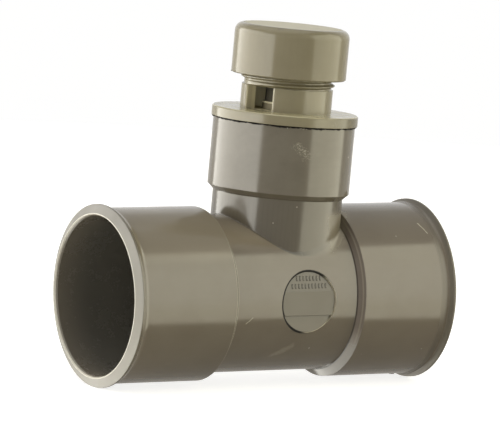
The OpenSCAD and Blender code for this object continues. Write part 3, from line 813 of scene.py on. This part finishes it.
def makeRimTree():
    tree, given = startTree("Collar rim", [
        ("Radius", "Float", 0.006), ("Height", "Float", 0.048), ("Thickness", "Float", 0.0002),
        ("Corners", "Int", 96), ("Sides", "Int", 12), ("Finish", "Material", None)])
    circle = addNode(tree, "GeometryNodeCurvePrimitiveCircle", {
        "Resolution": given["Corners"], "Radius": given["Radius"]})
    moved = addNode(tree, "GeometryNodeSetPosition", {
        "Geometry": circle.outputs[0], "Offset": joinVector(tree, z=given["Height"])})
    section = addNode(tree, "GeometryNodeCurvePrimitiveCircle", {
        "Resolution": given["Sides"], "Radius": given["Thickness"]})
    tube = addNode(tree, "GeometryNodeCurveToMesh", {
        "Curve": moved.outputs[0], "Profile Curve": section.outputs[0]})
    smooth = addNode(tree, "GeometryNodeSetShadeSmooth", {"Geometry": tube.outputs[0]})
    endTree(tree, smooth.outputs[0], given["Finish"])
    return tree


rimMesh = treeMesh("collar_rim", makeRimTree(), dict(rimSizes, Finish=rimPaintedHighlight))
rimMesh.transform(branchPlace)
makePiece("collar_rim", rimMesh, "tee")
print("collar rim made")


# plain raised ticks on the badge's upper flat, dark as painted shade; "up" is a row's height above the
# badge's middle, in mm
tickSizes = {"Tick width": 0.42 * mm, "Tick height": 1.3 * mm, "Raised": 0.13 * mm, "Pitch": 0.98 * mm}
tickRows = {"badge_ticks_0": dict(tickSizes, Count=8, up=6.0),
            "badge_ticks_1": dict(tickSizes, Count=11, up=4.1)}
# the upper flat in the CAD: its foot and top, and how far in front of the run's axis each lies, in mm
badgeFlat = {"x": 25.2, "foot": 2.8, "footFront": 19.705, "top": 7.8, "topFront": 18.333}


def makeTickTree():
    # a four-sided cone without its tip, turned by 45 degrees, is a bar with drafted sides
    footRadius, topRadius = 0.707, 0.5
    tree, given = startTree("Badge ticks", [
        ("Count", "Int", 9), ("Pitch", "Float", 0.001), ("Tick width", "Float", 0.0003),
        ("Tick height", "Float", 0.001), ("Raised", "Float", 0.0001), ("Finish", "Material", None)])
    gaps = calc(tree, "SUBTRACT", given["Count"], 1.0)
    start = calc(tree, "MULTIPLY", calc(tree, "MULTIPLY", gaps, given["Pitch"]), -0.5)
    row = addNode(tree, "GeometryNodeMeshLine", {
        "Count": given["Count"], "Start Location": joinVector(tree, x=start),
        "Offset": joinVector(tree, x=given["Pitch"])}, mode="OFFSET")
    bar = addNode(tree, "GeometryNodeMeshCone", {
        "Vertices": 4, "Radius Top": topRadius, "Radius Bottom": footRadius, "Depth": 1.0})
    upright = addNode(tree, "GeometryNodeTransform", {
        "Geometry": bar.outputs[0], "Rotation": (0.0, 0.0, math.radians(45))})
    size = joinVector(tree, given["Tick width"], given["Tick height"], given["Raised"])
    sized = addNode(tree, "GeometryNodeTransform", {"Geometry": upright.outputs[0], "Scale": size})
    placed = addNode(tree, "GeometryNodeInstanceOnPoints", {
        "Points": row.outputs[0], "Instance": sized.outputs[0]})
    endTree(tree, placed.outputs[0], given["Finish"])
    return tree


def makeTicks():
    tree = makeTickTree()
    flat = badgeFlat
    rise = Vector((0, flat["footFront"] - flat["topFront"], flat["top"] - flat["foot"])).normalized()
    facing = Vector((1, 0, 0)).cross(rise)
    lean = Matrix((Vector((1, 0, 0)), rise, facing)).transposed().to_4x4()
    for name, row in tickRows.items():
        share = (row["up"] - flat["foot"]) / (flat["top"] - flat["foot"])
        front = flat["footFront"] + (flat["topFront"] - flat["footFront"]) * share
        place = Matrix.Translation(Vector((flat["x"], -front, row["up"])) * mm) @ lean
        mesh = treeMesh(name, tree, dict(row, Finish=tickPlasticPaintedShade))
        mesh.transform(place)
        makePiece(name, mesh, "tee")


makeTicks()
print("badge ticks made")


# camera at the photograph's angle, in degrees, metres and, for the lens, mm
cameraView = {"yaw": -31.2738, "pitch": 7.0543, "roll": 3.109, "place": (-0.69036, -1.16720, 0.18643),
              "lens": 389.43, "sensor": 36.0, "near": 0.05, "far": 20}


def makeCamera():
    yaw, pitch, roll = (math.radians(cameraView[key]) for key in ("yaw", "pitch", "roll"))
    back = Vector((math.sin(yaw) * math.cos(pitch), -math.cos(yaw) * math.cos(pitch), math.sin(pitch)))
    level = (-back).cross(Vector((0, 0, 1))).normalized()
    upright = level.cross(-back)
    right = level * math.cos(roll) + upright * math.sin(roll)
    up = upright * math.cos(roll) - level * math.sin(roll)
    data = bpy.data.cameras.new("Camera")
    data.lens = cameraView["lens"]
    data.sensor_width = cameraView["sensor"]
    data.clip_start = cameraView["near"]
    data.clip_end = cameraView["far"]
    camera = bpy.data.objects.new("Camera", data)
    camera.matrix_world = Matrix.Translation(cameraView["place"]) @ Matrix(
        (right, up, back)).transposed().to_4x4()
    scene.collection.objects.link(camera)
    scene.camera = camera


makeCamera()

# soft boxes around the tee, worked out from the reflections in the photograph; in degrees, metres and watts
softBoxes = {
    "leftBox": {"azimuth": -65, "elevation": -2, "distance": 0.9, "width": 2.1, "height": 1.2, "power": 37.0,
                "colour": (1.0, 0.98, 0.91)},
    "frontBox": {"azimuth": 130, "elevation": 11, "distance": 0.9, "width": 1.26, "height": 1.47,
                 "power": 18.0, "colour": (1.0, 0.97, 0.77)},
    "lowBox": {"azimuth": -50, "elevation": -50, "distance": 0.9, "width": 1.3, "height": 1.2, "power": 19.0,
               "colour": (1.0, 0.98, 0.9)},
    "overheadBox": {"azimuth": -60, "elevation": 80, "distance": 0.9, "width": 1.0, "height": 1.0,
                    "power": 3.2, "colour": (1.0, 0.99, 0.96)}}
lightCentre = Vector((0.0213, 0, 0.022))      # what the boxes and the table stand around


def makeSoftBox(name, box):
    azimuth, elevation = math.radians(box["azimuth"]), math.radians(box["elevation"])
    towards = Vector((math.sin(azimuth) * math.cos(elevation), math.cos(azimuth) * math.cos(elevation),
                      math.sin(elevation)))
    data = bpy.data.lights.new(name, "AREA")
    data.shape = "RECTANGLE"
    data.size = box["width"]
    data.size_y = box["height"]
    data.energy = box["power"]
    data.color = box["colour"]
    lamp = bpy.data.objects.new(name, data)
    lamp.matrix_world = Matrix.Translation(lightCentre + towards * box["distance"]) @ \
        towards.to_track_quat("Z", "Y").to_matrix().to_4x4()
    lamp.visible_camera = False
    scene.collection.objects.link(lamp)


for boxName, box in softBoxes.items():
    makeSoftBox(boxName, box)

# white surroundings for what is seen or mirrored, a quiet grey for the fill light
roomLook = {"seen": (1.0, 1.0, 0.995, 1), "mirroredLow": (0.5, 0.475, 0.43, 1), "lowUpTo": -0.3,
            "highFrom": 0.08, "mirroredTop": (0.75, 0.75, 0.74, 1), "whiteUpTo": 0.45, "topFrom": 0.62,
            "fill": (0.06, 0.06, 0.058, 1)}
# a round table that the tee's sides don't mirror, so that they show the boxes down to their lower edges
tableLook = {"radius": 0.6, "corners": 96, "fill": (0.72, 0.7, 0.66, 1), "seen": (0.5, 0.5, 0.497, 1),
             "glow": 0.8, "glowColour": (1, 1, 0.995, 1)}


def seenRay(tree):
    path = addNode(tree, "ShaderNodeLightPath").outputs
    either = calc(tree, "MAXIMUM", path["Is Camera Ray"], path["Is Glossy Ray"])
    return calc(tree, "MAXIMUM", either, path["Is Transmission Ray"])


def makeSurroundings():
    world = bpy.data.worlds.new("Studio")
    scene.world = world
    world.use_nodes = True
    tree = world.node_tree
    tree.nodes.clear()
    path = addNode(tree, "ShaderNodeLightPath").outputs
    direction = addNode(tree, "ShaderNodeTexCoord").outputs["Generated"]
    height = addNode(tree, "ShaderNodeSeparateXYZ", {0: direction}).outputs[2]
    share = rampBetween(tree, height, roomLook["lowUpTo"], roomLook["highFrom"])
    mirrored = mixColour(tree, share, roomLook["mirroredLow"], roomLook["seen"])
    share = rampBetween(tree, height, roomLook["whiteUpTo"], roomLook["topFrom"])
    mirrored = mixColour(tree, share, mirrored, roomLook["mirroredTop"])
    colour = mixColour(tree, path["Is Glossy Ray"], roomLook["fill"], mirrored)
    straight = calc(tree, "MAXIMUM", path["Is Camera Ray"], path["Is Transmission Ray"])
    colour = mixColour(tree, straight, colour, roomLook["seen"])
    background = addNode(tree, "ShaderNodeBackground", {"Color": colour, "Strength": 1.0})
    out = tree.nodes.new("ShaderNodeOutputWorld")
    tree.links.new(background.outputs[0], out.inputs[0])


def makeTable():
    material = bpy.data.materials.new("Studio floor")
    material.use_nodes = True
    tree = material.node_tree
    tree.nodes.clear()
    hidden = addNode(tree, "ShaderNodeBsdfDiffuse", {"Color": tableLook["fill"]})
    seen = addNode(tree, "ShaderNodeBsdfDiffuse", {"Color": tableLook["seen"]})
    glow = addNode(tree, "ShaderNodeEmission", {
        "Color": tableLook["glowColour"], "Strength": tableLook["glow"]})
    both = addNode(tree, "ShaderNodeAddShader", {0: seen.outputs[0], 1: glow.outputs[0]})
    blend = addNode(tree, "ShaderNodeMixShader", {
        0: seenRay(tree), 1: hidden.outputs[0], 2: both.outputs[0]})
    out = tree.nodes.new("ShaderNodeOutputMaterial")
    tree.links.new(blend.outputs[0], out.inputs[0])

    mesh = bpy.data.meshes.new("floor")
    radius, corners = tableLook["radius"], tableLook["corners"]
    rim = [2 * math.pi * k / corners for k in range(corners)]
    points = [(lightCentre.x + radius * math.cos(a), radius * math.sin(a), floorHeight) for a in rim]
    mesh.from_pydata(points, [], [tuple(range(corners))])
    mesh.materials.append(material)
    floor = bpy.data.objects.new("floor", mesh)
    scene.collection.objects.link(floor)
    floor.visible_glossy = False


makeSurroundings()
makeTable()
scene.view_settings.view_transform = "Standard"
print("camera, lights and floor set")
